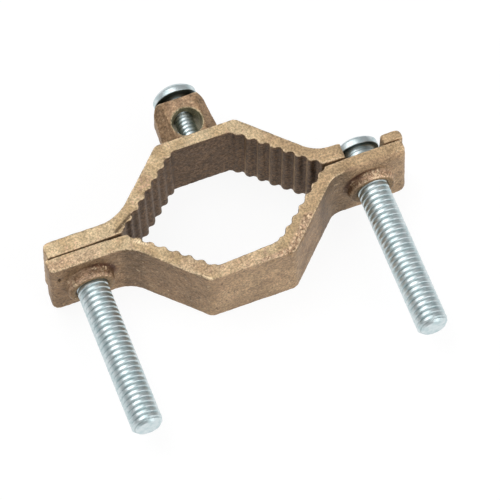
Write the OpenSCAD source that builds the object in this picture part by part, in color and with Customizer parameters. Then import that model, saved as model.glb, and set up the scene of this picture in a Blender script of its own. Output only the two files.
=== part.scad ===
// Earthing clamp for a pipe: two cast bronze jaws, toothed inside, that two long screws draw together.
// The rear jaw carries a lug with a cross hole and a screw of its own for the earthing wire.
// X runs along the ears, +Y points back towards the wire lug, and the pipe runs along Z.
// The origin is on the pipe's axis, in the plane between the two jaws, half way up the castings.

/* [Jaws] */
// Height of both castings along the pipe
jaw_height = 19.8; // [16:0.2:26]
// Reach of the rear jaw's left ear from the pipe's axis
rear_left_reach = 45.7; // [45.5:0.1:52]
// Reach of the rear jaw's right ear, which is slotted
rear_right_reach = 47.1; // [45.5:0.1:52]
// Reach of the front jaw's left ear
front_left_reach = 46.4; // [45.5:0.1:52]
// Reach of the front jaw's right ear
front_right_reach = 46.4; // [45.5:0.1:52]
// Thickness of the rear jaw's ears
rear_ear_thick = 4.2; // [3.6:0.1:6]
// Thickness of the front jaw's ears beside their bosses
front_ear_thick = 3.8; // [3:0.1:6]
// Gap between the two jaws' ears when the clamp is closed
parting_gap = 0.3; // [0.2:0.1:2]
// Distance from the pipe's axis to the outer flat of the rear jaw
rear_flat_reach = 19.9; // [19.2:0.1:23]
// Distance from the pipe's axis to the outer flat of the front jaw
front_flat_reach = 19.5; // [19.2:0.1:23]
// Distance from the middle to the left end of the rear jaw's outer flat
rear_left_flat = 10.6; // [9.5:0.1:12]
// Distance from the middle to the right end of the rear jaw's outer flat
rear_right_flat = 10.2; // [9.5:0.1:12]
// Distance from the middle to the left end of the front jaw's outer flat
front_left_flat = 10.6; // [9.5:0.1:12]
// Distance from the middle to the right end of the front jaw's outer flat
front_right_flat = 11.3; // [9.5:0.1:12]
// Slope of the outer side of each leg
leg_angle = 45; // [42:1:47]
// Radius of the hollow where a leg runs into its ear
ear_fillet = 9.5; // [6:0.5:11]
// The same radius on the rear jaw's left leg
rear_left_fillet = 12; // [6:0.5:14]
// The same radius on the front jaw's right leg
front_right_fillet = 5; // [3:0.5:11]
// Radius of the outer corner between flat and leg
flat_corner = 2.2; // [1:0.1:3]
// Radius of the upright corner at the end of an ear
ear_corner = 1.5; // [0.6:0.1:1.8]
// Radius of the lower corner at the end of an ear, seen from the front
ear_low_corner = 2.2; // [1:0.1:4]
// Radius of the upper corner at the end of an ear, seen from the front
ear_top_corner = 0.6; // [0.4:0.1:4]

/* [Bite] */
// Distance from the pipe's axis to the inner flat of the rear jaw
rear_bite_reach = 16.7; // [16:0.1:17]
// Distance from the pipe's axis to the inner flat of the front jaw
front_bite_reach = 15.8; // [15.4:0.1:16.6]
// Rise of the front jaw's inner flat from one end to the other, as its core lay in the mould
front_core_skew = 0.7; // [0:0.1:0.9]
// Half length of the rear jaw's inner flat
rear_bite_half = 7.5; // [6.5:0.1:7.6]
// Half length of the front jaw's inner flat
front_bite_half = 6.8; // [6:0.1:7.4]
// First tooth of the rear jaw's left leg, from the middle
rear_left_first = 8.3; // [8:0.1:9.4]
// First tooth of the rear jaw's right leg, from the middle
rear_right_first = 9.1; // [8:0.1:9.4]
// First tooth of the front jaw's left leg, from the middle
front_left_first = 8.1; // [8:0.1:9.4]
// First tooth of the front jaw's right leg, from the middle
front_right_first = 9; // [8:0.1:9.4]
// End of the rear jaw's left tooth line at the parting plane, from the middle
rear_left_mouth = 26.3; // [25:0.1:26.4]
// End of the rear jaw's right tooth line at the parting plane, from the middle
rear_right_mouth = 25.8; // [25:0.1:26.4]
// End of the front jaw's left tooth line at the parting plane, from the middle
front_left_mouth = 25.4; // [25:0.1:26.4]
// End of the front jaw's right tooth line at the parting plane, from the middle
front_right_mouth = 25.9; // [25:0.1:26.4]
// Slope of the rear jaw's left tooth line
rear_left_slope = 40.8; // [40:0.1:42]
// Slope of the rear jaw's right tooth line
rear_right_slope = 42.6; // [41:0.1:43]
// Slope of the front jaw's left tooth line
front_left_slope = 42; // [41:0.1:42.4]
// Slope of the front jaw's right tooth line
front_right_slope = 40.7; // [40:0.1:42]
// Pitch of the teeth in the rear jaw
rear_pitch = 3.25; // [3:0.01:3.3]
// Pitch of the teeth in the front jaw
front_pitch = 3.34; // [3:0.01:3.34]
// Depth of the grooves in the rear jaw
rear_tooth_depth = 0.8; // [0.5:0.05:1]
// Depth of the grooves in the front jaw
front_tooth_depth = 0.65; // [0.5:0.05:1]
// Number of grooves on each leg
tooth_count = 7; // [5:1:7]
// Length along the ear of the relief next to the opening
relief_length = 9; // [6:0.5:10]
// Depth of that relief where it meets the opening
relief_depth = 0.25; // [0.2:0.05:0.8]

/* [Clamp screws] */
// Distance from the pipe's axis to each clamp screw's axis
screw_reach = 36.8; // [36:0.1:40]
// Diameter over the clamp screws' threads
screw_dia = 7.94; // [6.4:0.02:8.4]
// Length of a clamp screw under its head
screw_length = 50.8; // [38:0.2:70]
// Diameter of a clamp screw's head
screw_head_dia = 11.4; // [10.6:0.1:14]
// Height of the straight rim of a clamp screw's head
screw_rim = 1.7; // [1.2:0.1:2.4]
// Height of the dome on a clamp screw's head
screw_dome = 2; // [1.2:0.1:2.6]
// Length of the chamfer at a clamp screw's tip
tip_chamfer = 0.95; // [0.5:0.05:1.4]
// Pitch of the clamp screws' threads
screw_pitch = 1.41; // [1.3:0.01:1.8]
// Depth of the clamp screws' threads
screw_thread = 0.8; // [0.4:0.05:0.95]
// Length of the smooth neck under a clamp screw's head
screw_neck = 1.8; // [1:0.1:6]
// Width of the driver slot in the heads of the clamp screws
screw_slot_w = 1.8; // [1.2:0.1:2.4]
// Depth of the driver slot in the heads of the clamp screws
screw_slot_deep = 2; // [1:0.1:2.4]
// Gap under the heads of the clamp screws
head_gap = 0.1; // [0.05:0.05:0.3]
// Gap round a thread in its tapped hole, on each side
thread_gap = 0.05; // [0.02:0.01:0.1]
// Gap round the left clamp screw in the rear ear's plain hole, on each side
pivot_gap = 0.3; // [0.1:0.05:0.5]
// Gap round the right clamp screw in its slot, on each side, which lets it swing out
slot_gap = 0.88; // [0.8:0.02:1.2]
// Radius of the lips at the slot's mouth
slot_lip = 1; // [0.6:0.1:1.6]
// Thickness of the rear ear outside its slot
slot_lip_thick = 2.8; // [2.4:0.1:3.6]

/* [Bosses] */
// Radius of the face of each cast boss round a clamp screw
boss_radius = 6; // [5.6:0.1:6.6]
// Height of the left boss above its ear
left_boss_height = 2.7; // [2.1:0.05:3.2]
// Height of the right boss above its ear
right_boss_height = 2.1; // [2.1:0.05:3.2]
// Radius of the hollow at the foot of a boss
boss_foot = 1; // [0.4:0.1:1.2]
// Radius of the rounded edge of a boss
boss_edge = 1; // [0.3:0.1:1.2]
// Chamfer at the mouth of each tapped hole
tap_mouth = 0.5; // [0.2:0.1:0.8]

/* [Wire lug] */
// Distance from the pipe's axis to the rear face of the lug
lug_reach = 34.3; // [33:0.1:38]
// Half width of the lug where it leaves the jaw
lug_root_half = 7.5; // [7:0.1:8.4]
// Half width of the lug at its rear end
lug_tip_half = 6.55; // [6.2:0.05:7.2]
// How far the lug's rear end leans to the left
lug_lean = 0.25; // [0:0.05:0.5]
// Height of the lug's top above the screws' axes
lug_top = 4.6; // [4.2:0.1:6]
// Depth of the lug's underside below the screws' axes
lug_under = 6.4; // [4.2:0.1:7.5]
// Half width of the lug's level top where it leaves the jaw
lug_crown_root = 3.85; // [3.6:0.05:5]
// Half width of the lug's level top at its rear end
lug_crown_tip = 4.5; // [4.2:0.1:5.2]
// Slope of the lug's flanks from its level top
lug_flank_slope = 50; // [40:1:60]
// Height of the upright part of the lug's rear end
lug_end_band = 4; // [2:0.1:5]
// Slope of the lug's rear end from its upright part to its top
lug_end_fall = 1.3; // [0.4:0.1:1.8]
// Radius of the lug's rear corners
lug_corner = 3.5; // [2:0.1:4]
// Radius of the hollow at the lug's root
lug_foot = 0.8; // [0.4:0.1:1.6]
// Distance from the pipe's axis to the wire hole's axis
wire_hole_reach = 26; // [25.4:0.1:27]
// Diameter of the wire hole
wire_hole_dia = 7.7; // [6:0.1:8.4]

/* [Lug screw] */
// Diameter over the lug screw's thread
lug_screw_dia = 4.83; // [4.2:0.01:5.5]
// Diameter of the lug screw's head
lug_head_dia = 11.2; // [9.4:0.1:12]
// Height of the straight rim of the lug screw's head
lug_rim = 1.5; // [1:0.1:2]
// Height of the dome on the lug screw's head
lug_dome = 2.5; // [1.2:0.1:2.8]
// Width of the driver slot in the lug screw's head
lug_slot_w = 1.5; // [1:0.1:2]
// Depth of the driver slot in the lug screw's head
lug_slot_deep = 1.8; // [1:0.1:2.2]
// Gap between the lug screw's tip and the wall in front of it
lug_tip_gap = 0.15; // [0.1:0.05:0.5]
// Chamfer at the lug screw's tip
lug_tip_chamfer = 0.6; // [0.3:0.1:0.8]
// Pitch of the lug screw's thread
lug_pitch = 1.06; // [0.95:0.01:1.3]
// Depth of the lug screw's thread
lug_thread = 0.6; // [0.3:0.05:0.7]
// Length of the smooth neck under the lug screw's head
lug_neck = 1; // [0.6:0.1:2]

/* [Hidden] */
$fn = 64;
bronze = [0.72, 0.56, 0.38];
zinc = [0.80, 0.83, 0.85];
// How far cutting tools run past the faces they cut
over = 1;
ear_face = parting_gap / 2;
rear_ear_back = ear_face + rear_ear_thick;
front_ear_back = ear_face + front_ear_thick;
slot_lip_back = ear_face + slot_lip_thick;
// Where the sloped side of a leg, run straight on, would reach the outer face of its ear at back
function leg_foot_x(flat_end, flat_reach, back) = flat_end + (flat_reach - back) / tan(leg_angle);
mouth_y = ear_face + relief_depth;
// The bite of one leg: its first tooth and its mouth from the middle, its slope, pitch and groove depth
rear_left_bite = [rear_left_first, rear_left_mouth, rear_left_slope, rear_pitch, rear_tooth_depth];
rear_right_bite = [rear_right_first, rear_right_mouth, rear_right_slope, rear_pitch, rear_tooth_depth];
front_left_bite = [front_left_first, front_left_mouth, front_left_slope, front_pitch, front_tooth_depth];
front_right_bite = [front_right_first, front_right_mouth, front_right_slope, front_pitch, front_tooth_depth];
// The tooth line runs half way up the teeth, from the first tooth down to the mouth
function bite_top(bite) = [bite[0], mouth_y + (bite[1] - bite[0]) * tan(bite[2])];
function on_bite(bite, step, depth) =
    bite_top(bite) + [cos(bite[2]), -sin(bite[2])] * bite[3] * step + [sin(bite[2]), cos(bite[2])] * depth;
// Arc of a tooth that would just touch the next groove's arc on the tooth line
function tooth_arc(bite) = bite[3] * bite[3] / (16 * bite[4]) + bite[4] / 4;
// Grooves are cut with a slightly larger arc, so that the arcs cross and don't only touch
groove_ease = 1.03;
function groove_arc(bite) = groove_ease * tooth_arc(bite);
slot_half = screw_dia / 2 + slot_gap;
head_seat = rear_ear_back + head_gap;
lug_seat = lug_reach + head_gap;
lug_half_height = (lug_top + lug_under) / 2;
lug_flank_turn = atan((lug_crown_tip - lug_crown_root) / (lug_reach - lug_end_fall - rear_flat_reach));
// The wire hole's near wall at a distance x beside its middle
function wire_wall(x) = wire_hole_reach - sqrt(wire_hole_dia * wire_hole_dia / 4 - x * x);
lug_screw_r = lug_screw_dia / 2;
// The lug screw's tip stops short of that round wall with the edges of its flat end and of its chamfer
lug_tip = max(wire_wall(lug_screw_r - lug_tip_chamfer), wire_wall(lug_screw_r) - lug_tip_chamfer) + lug_tip_gap;
// Half angle of a thread's groove
thread_flank = 30;

// Half of a jaw's outline seen along the pipe, sharp cornered, with the ear towards +X
module half_outline(flat_end, flat_reach, back, reach, bite_half, bite_reach, bite_middle, bite)
    polygon([
        [0, flat_reach],
        [flat_end, flat_reach],
        [leg_foot_x(flat_end, flat_reach, back), back],
        [reach, back],
        [reach, ear_face],
        [bite[1] + relief_length, ear_face],
        [bite[1], mouth_y],
        bite_top(bite),
        [bite_half, bite_reach],
        [0, bite_middle]
    ]);

// Fills the hollow corner between a leg and its ear to a radius
module leg_fillet(flat_end, flat_reach, back, radius) {
    foot = leg_foot_x(flat_end, flat_reach, back);
    tangent = radius * tan(leg_angle / 2);
    difference() {
        polygon([
            [foot - tangent, back],
            [foot, back - over / 2],
            [foot + tangent, back],
            [foot - tangent * cos(leg_angle), back + tangent * sin(leg_angle)]
        ]);
        translate([foot + tangent, back + radius])
            circle(radius, $fn = 96);
    }
}

// Cuts the outer corner between flat and leg to a round
module flat_corner_cut(flat_end, flat_reach) {
    run = flat_corner * tan(leg_angle / 2);
    difference() {
        polygon([
            [flat_end - run, flat_reach],
            [flat_end - run, flat_reach + over],
            [flat_end + run * cos(leg_angle) + over, flat_reach - run * sin(leg_angle) + over],
            [flat_end + run * cos(leg_angle), flat_reach - run * sin(leg_angle)],
            [flat_end - run, flat_reach - run]
        ]);
        translate([flat_end - run, flat_reach - flat_corner])
            circle(flat_corner);
    }
}

// Cuts the outer corner at [x, y] to a round of radius r
module square_corner_cut(x, y, r)
    translate([x - r, y - r])
        difference() {
            square(r + over);
            circle(r);
        }

// The rounded teeth of one leg
module teeth(bite)
    for (i = [0 : tooth_count - 1])
        translate(on_bite(bite, i, tooth_arc(bite) - bite[4] / 2))
            circle(tooth_arc(bite), $fn = 32);

// The rounded grooves between them
module grooves(bite)
    for (i = [0 : tooth_count - 1])
        translate(on_bite(bite, i + 0.5, bite[4] / 2 - groove_arc(bite)))
            circle(groove_arc(bite), $fn = 32);

// One half of a jaw seen along the pipe, with its fillet, rounds and teeth
module half_jaw(flat_end, flat_reach, back, reach, bite_half, bite_reach, bite_middle, bite, fillet)
    difference() {
        union() {
            half_outline(flat_end, flat_reach, back, reach, bite_half, bite_reach, bite_middle, bite);
            leg_fillet(flat_end, flat_reach, back, fillet);
            teeth(bite);
        }
        flat_corner_cut(flat_end, flat_reach);
        square_corner_cut(reach, back, ear_corner);
        grooves(bite);
    }

// Trims a jaw's two halves, which are drawn along the pipe, to their shape seen from the front
module trimmed_jaw(flat_reach, left_reach, right_reach)
    intersection() {
        linear_extrude(jaw_height, center = true)
            children();
        translate([0, flat_reach + over, 0])
            rotate([90, 0, 0])
                linear_extrude(flat_reach + 2 * over) {
                    half_front_view(right_reach);
                    mirror([1, 0])
                        half_front_view(left_reach);
                }
    }

// The rear jaw as cast, before any hole
module rear_casting()
    trimmed_jaw(rear_flat_reach, rear_left_reach, rear_right_reach) {
        half_jaw(rear_right_flat, rear_flat_reach, rear_ear_back, rear_right_reach,
            rear_bite_half, rear_bite_reach, rear_bite_reach, rear_right_bite, ear_fillet);
        mirror([1, 0])
            half_jaw(rear_left_flat, rear_flat_reach, rear_ear_back, rear_left_reach,
                rear_bite_half, rear_bite_reach, rear_bite_reach, rear_left_bite, rear_left_fillet);
    }

// The front jaw as cast, turned to face the rear one; its inner flat is tipped by the core's skew
module front_casting()
    mirror([0, 1, 0])
        trimmed_jaw(front_flat_reach, front_left_reach, front_right_reach) {
            half_jaw(front_right_flat, front_flat_reach, front_ear_back, front_right_reach,
                front_bite_half, front_bite_reach - front_core_skew / 2, front_bite_reach, front_right_bite,
                front_right_fillet);
            mirror([1, 0])
                half_jaw(front_left_flat, front_flat_reach, front_ear_back, front_left_reach,
                    front_bite_half, front_bite_reach + front_core_skew / 2, front_bite_reach, front_left_bite,
                    ear_fillet);
        }

// Half of a jaw seen from the front, with the two corners at the ear's end rounded
module half_front_view(reach)
    difference() {
        translate([0, -jaw_height / 2])
            square([reach, jaw_height]);
        square_corner_cut(reach, jaw_height / 2, ear_top_corner);
        mirror([0, 1])
            square_corner_cut(reach, jaw_height / 2, ear_low_corner);
    }

// A straight tool of radius r along +Y from y0 to y1
module y_rod(x, y0, y1, r)
    translate([x, y0, 0])
        rotate([-90, 0, 0])
            cylinder(h = y1 - y0, r = r);

// The open slot in the rear jaw's right ear, with rounded lips at its mouth
module slot_cut() {
    back = rear_ear_back + over;
    depth = rear_ear_thick + 2 * over;
    y_rod(screw_reach, back - depth, back, slot_half);
    translate([screw_reach, back, 0])
        rotate([90, 0, 0])
            linear_extrude(depth)
                for (side = [0, 1])
                    mirror([side, 0]) {
                        square([slot_half, jaw_height / 2 + over]);
                        slot_lip_cut();
                    }
}

// Rounds the lip of the slot towards +X of its middle
module slot_lip_cut()
    translate([slot_half, jaw_height / 2 - slot_lip])
        difference() {
            translate([-over, 0])
                square(slot_lip + over);
            translate([slot_lip, 0])
                circle(slot_lip);
        }

// Thins the rear ear outside its slot, and rounds the thinner ear's corner
module slot_lip_thinning()
    linear_extrude(jaw_height + over, center = true) {
        translate([screw_reach + slot_half - over, slot_lip_back])
            square([rear_right_reach - screw_reach - slot_half + 2 * over, rear_ear_thick]);
        square_corner_cut(rear_right_reach, slot_lip_back, ear_corner);
    }

// Half of the lug seen along the pipe: it narrows towards its rear and has a round rear corner
module half_lug_plan(tip_half) {
    root_y = rear_flat_reach - over;
    polygon([
        [0, root_y],
        [lug_root_half, root_y],
        [lug_root_half, rear_flat_reach],
        [tip_half, lug_reach - lug_corner],
        [tip_half - lug_corner, lug_reach],
        [0, lug_reach]
    ]);
    translate([tip_half - lug_corner, lug_reach - lug_corner])
        circle(lug_corner);
    difference() {
        translate([lug_root_half - over, root_y])
            square([lug_foot + over, lug_foot + over]);
        translate([lug_root_half + lug_foot, rear_flat_reach + lug_foot])
            circle(lug_foot);
    }
}

// The lug seen from the side, about its own middle: its rear end falls away to top and underside
module lug_side()
    polygon([
        [rear_flat_reach - over, -lug_half_height],
        [lug_reach - lug_end_fall, -lug_half_height],
        [lug_reach, -lug_end_band / 2],
        [lug_reach, lug_end_band / 2],
        [lug_reach - lug_end_fall, lug_half_height],
        [rear_flat_reach - over, lug_half_height]
    ]);

// Slopes one upper flank of the lug down from the edge of its level top
module lug_flank_cut()
    translate([lug_crown_root, rear_flat_reach, lug_half_height])
        rotate([0, lug_flank_slope, -lug_flank_turn])
            translate([0, -2 * over, 0])
                cube([2 * lug_root_half, lug_reach, 2 * lug_half_height]);

// The whole lug, from its plan and its side view, with its four flanks sloped
module lug_body()
    translate([0, 0, (lug_top - lug_under) / 2])
        difference() {
            intersection() {
                linear_extrude(2 * lug_half_height + over, center = true) {
                    half_lug_plan(lug_tip_half - lug_lean);
                    mirror([1, 0])
                        half_lug_plan(lug_tip_half + lug_lean);
                }
                rotate([90, 0, 90])
                    linear_extrude(3 * lug_root_half, center = true)
                        lug_side();
            }
            for (side = [0, 1], face = [0, 1])
                mirror([side, 0, 0])
                    mirror([0, 0, face])
                        lug_flank_cut();
        }

// A cast boss that stands on the front ear's outer face, about the axis of a clamp screw at x
module boss(x, height)
    translate([x, -front_ear_back + over, 0])
        rotate([90, 0, 0])
            rotate_extrude($fn = 96)
                half_boss(height);

// The hole for a clamp screw's thread at x, with a chamfered mouth in the boss face at y
module tapped_hole(x, y) {
    r = screw_dia / 2 + thread_gap;
    y_rod(x, y - over, over, r);
    translate([x, y - over, 0])
        rotate([-90, 0, 0])
            cylinder(h = tap_mouth + over, r1 = r + tap_mouth + over, r2 = r);
}

// Half section of a boss: its root in the ear, a hollow foot and a rounded edge
module half_boss(height) {
    top = over + height;
    square([boss_radius - boss_edge, top]);
    square([boss_radius, top - boss_edge]);
    translate([boss_radius - boss_edge, top - boss_edge])
        circle(boss_edge);
    difference() {
        translate([boss_radius - over, 0])
            square([boss_foot + over, over + boss_foot]);
        translate([boss_radius + boss_foot, over + boss_foot])
            circle(boss_foot);
    }
}

// Half section of one groove of a thread, pointed at its root, as [radius, height] from low to high
function groove_section(r, z, deep) =
    [[r, z - deep * tan(thread_flank)], [r - deep, z], [r, z + deep * tan(thread_flank)]];

// Half section of a shank below the head: chamfered tip, evenly spaced thread grooves, smooth neck
module shank(length, dia, chamfer, pitch, deep, neck) {
    groove_count = floor((length - chamfer - neck) / pitch);
    polygon(concat(
        [[0, -length], [dia / 2 - chamfer, -length], [dia / 2, chamfer - length]],
        [for (i = [0 : groove_count - 1])
            each groove_section(dia / 2, chamfer - length + (i + 0.5) * pitch, deep)],
        [[dia / 2, over / 2], [0, over / 2]]
    ));
}

// A machine screw along +Y: threaded shank, round head and driver slot
module machine_screw(seat, length, dia, chamfer, pitch, deep, neck, head_dia, rim, dome, slot_w, slot_deep)
    translate([0, seat, 0])
        rotate([-90, 0, 0])
            difference() {
                rotate_extrude($fn = 96) {
                    shank(length, dia, chamfer, pitch, deep, neck);
                    square([head_dia / 2, rim]);
                    head_dome(head_dia / 2, rim, dome);
                }
                translate([-head_dia / 2 - over, -slot_w / 2, rim + dome - slot_deep])
                    cube([head_dia + 2 * over, slot_w, slot_deep + over]);
            }

// Half section of a head's dome: the cap of a ball that rises by dome over radius r
module head_dome(r, rim, dome) {
    ball = (r * r + dome * dome) / (2 * dome);
    intersection() {
        translate([0, rim + dome - ball])
            circle(ball, $fn = 128);
        translate([0, rim])
            square([r, dome + over]);
    }
}

module clamp_screw(x)
    translate([x, 0, 0])
        machine_screw(head_seat, screw_length, screw_dia, tip_chamfer, screw_pitch, screw_thread,
            screw_neck, screw_head_dia, screw_rim, screw_dome, screw_slot_w, screw_slot_deep);

module rear_jaw()
    color(bronze)
        difference() {
            union() {
                rear_casting();
                lug_body();
            }
            y_rod(-screw_reach, ear_face - over, rear_ear_back + over, screw_dia / 2 + pivot_gap);
            slot_cut();
            slot_lip_thinning();
            translate([0, wire_hole_reach, 0])
                cylinder(h = jaw_height, r = wire_hole_dia / 2, center = true);
            y_rod(0, wire_hole_reach, lug_reach + over, lug_screw_r + thread_gap);
        }

module front_jaw()
    color(bronze)
        difference() {
            union() {
                front_casting();
                boss(-screw_reach, left_boss_height);
                boss(screw_reach, right_boss_height);
            }
            tapped_hole(-screw_reach, -front_ear_back - left_boss_height);
            tapped_hole(screw_reach, -front_ear_back - right_boss_height);
        }

module left_clamp_screw()
    color(zinc)
        clamp_screw(-screw_reach);

module right_clamp_screw()
    color(zinc)
        clamp_screw(screw_reach);

module lug_screw()
    color(zinc)
        machine_screw(lug_seat, lug_seat - lug_tip, lug_screw_dia, lug_tip_chamfer, lug_pitch, lug_thread,
            lug_neck, lug_head_dia, lug_rim, lug_dome, lug_slot_w, lug_slot_deep);

rear_jaw();
front_jaw();
left_clamp_screw();
right_clamp_screw();
lug_screw();
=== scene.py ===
"""The looks of a cast bronze earthing clamp for pipes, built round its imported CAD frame.

All sizes are in metres, in the frame's own axes: X runs along the ears, +Y points to the wire lug
and Z is the pipe's axis. The two castings are fine copies of their CAD solids with softened edges,
draft and sand grain. The three screws are surfaces worked out with numpy, whose helical threads
have the real pitch and are as shallow as the photograph shows them.
"""
import logging
import math
from collections.abc import Sequence
from dataclasses import dataclass, field, replace
from enum import Enum

import bmesh
import bpy
import numpy as np
from mathutils import Matrix, Vector


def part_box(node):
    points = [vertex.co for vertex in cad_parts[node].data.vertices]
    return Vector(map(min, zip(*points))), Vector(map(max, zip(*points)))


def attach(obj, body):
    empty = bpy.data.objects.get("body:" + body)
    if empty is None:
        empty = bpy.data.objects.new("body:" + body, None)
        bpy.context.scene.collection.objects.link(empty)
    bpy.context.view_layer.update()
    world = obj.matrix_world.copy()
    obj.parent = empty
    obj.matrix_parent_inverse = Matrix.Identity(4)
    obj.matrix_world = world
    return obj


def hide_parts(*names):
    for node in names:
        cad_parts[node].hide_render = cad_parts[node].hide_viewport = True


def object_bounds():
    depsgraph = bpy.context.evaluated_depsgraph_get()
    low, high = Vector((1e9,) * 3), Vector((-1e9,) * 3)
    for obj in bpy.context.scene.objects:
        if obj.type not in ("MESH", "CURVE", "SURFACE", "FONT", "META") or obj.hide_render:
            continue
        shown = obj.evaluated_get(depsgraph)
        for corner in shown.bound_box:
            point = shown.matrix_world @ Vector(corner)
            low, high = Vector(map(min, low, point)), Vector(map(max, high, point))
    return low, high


Colour = tuple[float, float, float]
Point = tuple[float, float, float]

MM = 0.001
SCREW_AXIS = 36.8 * MM
# The heights of the jaws' tops and of the lug's top, in millimetres, for mm().
TOP = 9.9
LUG_TOP = 4.6
# A cap so far above a screw's slot that the dome is always the lower of the two.
CLEAR_OF_DOME = 1.0
# What scrambles the whole numbers of a noise lattice, and a shift that keeps them above 0.
LATTICE_PRIMES = (73856093, 19349663, 83492791)
SEED_PRIME = 2654435761
SCRAMBLE_STEPS = ((15, 2246822519), (13, 3266489917))
LATTICE_SHIFT = 1000.0
LOG = logging.getLogger("earthing_clamp")

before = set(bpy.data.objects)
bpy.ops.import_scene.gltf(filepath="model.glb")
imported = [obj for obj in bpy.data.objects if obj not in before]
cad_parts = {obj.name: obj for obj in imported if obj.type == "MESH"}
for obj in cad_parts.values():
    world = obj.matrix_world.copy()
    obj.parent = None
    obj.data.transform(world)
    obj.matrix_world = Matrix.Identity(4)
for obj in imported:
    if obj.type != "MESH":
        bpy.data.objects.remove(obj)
CAD_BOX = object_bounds()


def mm(x: float, y: float, z: float) -> Point:
    """A point given in millimetres."""
    return (x * MM, y * MM, z * MM)


class Slot(Enum):
    """The record's material slots."""

    BRONZE = "cast_bronze"
    ZINC = "zinc_plated_steel"


class Mask(Enum):
    """Point attributes that the materials read, each from 0 to 1."""

    GROUND = "ground"
    RUBBED_AND_HIGHLIT = "rubbed"
    HOLLOW_SHADE = "hollow"
    BITE = "bite"
    BORE = "bore"
    FOOT_SHADE = "foot"
    SCUFFED = "scuffed"
    DULL_AND_SHADE = "dull"
    TARNISHED = "tarnished"
    BOSS_FACE_SHADE = "boss_face_shade"
    ROOT_SHADE = "root"
    SHADED = "shaded"


def smooth_step(values: np.ndarray, start: float, end: float) -> np.ndarray:
    """Eases from 0 at start to 1 at end, as 3t^2 - 2t^3.

    Args:
        values: Any array.
        start: Value at which the result is 0.
        end: Value at which the result is 1. It may be below start.

    Returns:
        An array of the same shape.
    """
    share = np.clip((values - start) / (end - start), 0.0, 1.0)
    return share * share * (3.0 - 2.0 * share)


@dataclass(frozen=True)
class Ramp:
    """An eased change from low at start to high at end. The end may be below the start."""

    start: float
    end: float
    low: float = 0.0
    high: float = 1.0

    def of(self, values: np.ndarray) -> np.ndarray:
        """Eases an array's values along the ramp."""
        return self.low + (self.high - self.low) * smooth_step(values, self.start, self.end)

    def past(self, reach: float) -> "Ramp":
        """The same ramp, measured from a reach instead of from 0."""
        return replace(self, start=self.start + reach, end=self.end + reach)


@dataclass(frozen=True)
class Pattern:
    """A material's noise: the size of its bumps, how its finer octaves mix, and how it swirls.

    The offset moves the pattern, so that two of one size differ.
    """

    size: float
    detail: float
    roughness: float
    distortion: float = 0.0
    offset: Point = (0.0, 0.0, 0.0)


def lattice_value(corner: np.ndarray, seed: int) -> np.ndarray:
    """Gives each corner of a cubic lattice its own random number.

    The corner's three whole numbers are multiplied by large primes, summed and scrambled.

    Args:
        corner: Whole numbers above 0, one row of three for each point.
        seed: Chooses the lattice.

    Returns:
        Numbers from -1 to about 1, one for each row.
    """
    primes = np.array(LATTICE_PRIMES, dtype=np.uint64)
    mixed = (corner.astype(np.uint64) * primes).sum(axis=1, dtype=np.uint64)
    mixed = mixed + np.uint64(seed) * np.uint64(SEED_PRIME)
    for shift, factor in SCRAMBLE_STEPS:
        mixed = (mixed ^ (mixed >> np.uint64(shift))) * np.uint64(factor)
    mixed = (mixed >> np.uint64(16)) & np.uint64(0xFFFF)
    return mixed.astype(float) / 0x7FFF - 1.0


def noise(points: np.ndarray, cell: float, seed: int) -> np.ndarray:
    """Smooth noise: the lattice numbers of a point's eight corners, blended by eased distance.

    Args:
        points: Rows of x, y and z.
        cell: Spacing of the lattice, about the size of one bump.
        seed: Chooses the pattern.

    Returns:
        Numbers from -1 to 1, one for each point.
    """
    place = points / cell + LATTICE_SHIFT
    corner = np.floor(place)
    share = smooth_step(place - corner, 0.0, 1.0)
    total = np.zeros(len(points))
    for step in np.ndindex(2, 2, 2):
        weight = np.where(np.array(step) == 1, share, 1.0 - share).prod(axis=1)
        total += weight * lattice_value(corner + np.array(step), seed)
    return total


def grain(points: np.ndarray, cell: float, octaves: int, seed: int) -> np.ndarray:
    """Adds up octaves of noise, each with half the cell and half the height of the last.

    Args:
        points: Rows of x, y and z.
        cell: Cell of the first octave.
        octaves: Number of octaves.
        seed: Chooses the pattern.

    Returns:
        Numbers of about -1 to 1, one for each point.
    """
    total = np.zeros(len(points))
    for octave in range(octaves):
        total += noise(points, cell / 2**octave, seed + octave) / 2**octave
    return total


def neighbour_mean(values: np.ndarray, edges: np.ndarray) -> np.ndarray:
    """Averages what each point's neighbours along the edges hold.

    Args:
        values: One row for each point, of one or more columns.
        edges: Pairs of point numbers.

    Returns:
        An array of the same shape.
    """
    count = len(values)
    columns = values.reshape(count, -1)
    start, end = edges.T
    degree = np.maximum(np.bincount(edges.ravel(), minlength=count), 1)
    sums = [
        np.bincount(start, column[end], count) + np.bincount(end, column[start], count)
        for column in columns.T
    ]
    return (np.stack(sums, axis=1) / degree[:, None]).reshape(values.shape)


def relax(values: np.ndarray, edges: np.ndarray, passes: int,
          share: np.ndarray | float = 0.5) -> np.ndarray:
    """Moves each point's values towards the mean of its neighbours, pass after pass.

    Args:
        values: One row for each point.
        edges: Pairs of point numbers.
        passes: Number of passes.
        share: How far a pass moves a point towards the mean, for all points or for each.

    Returns:
        The relaxed values.
    """
    for _ in range(passes):
        values = values + share * (neighbour_mean(values, edges) - values)
    return values


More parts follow.
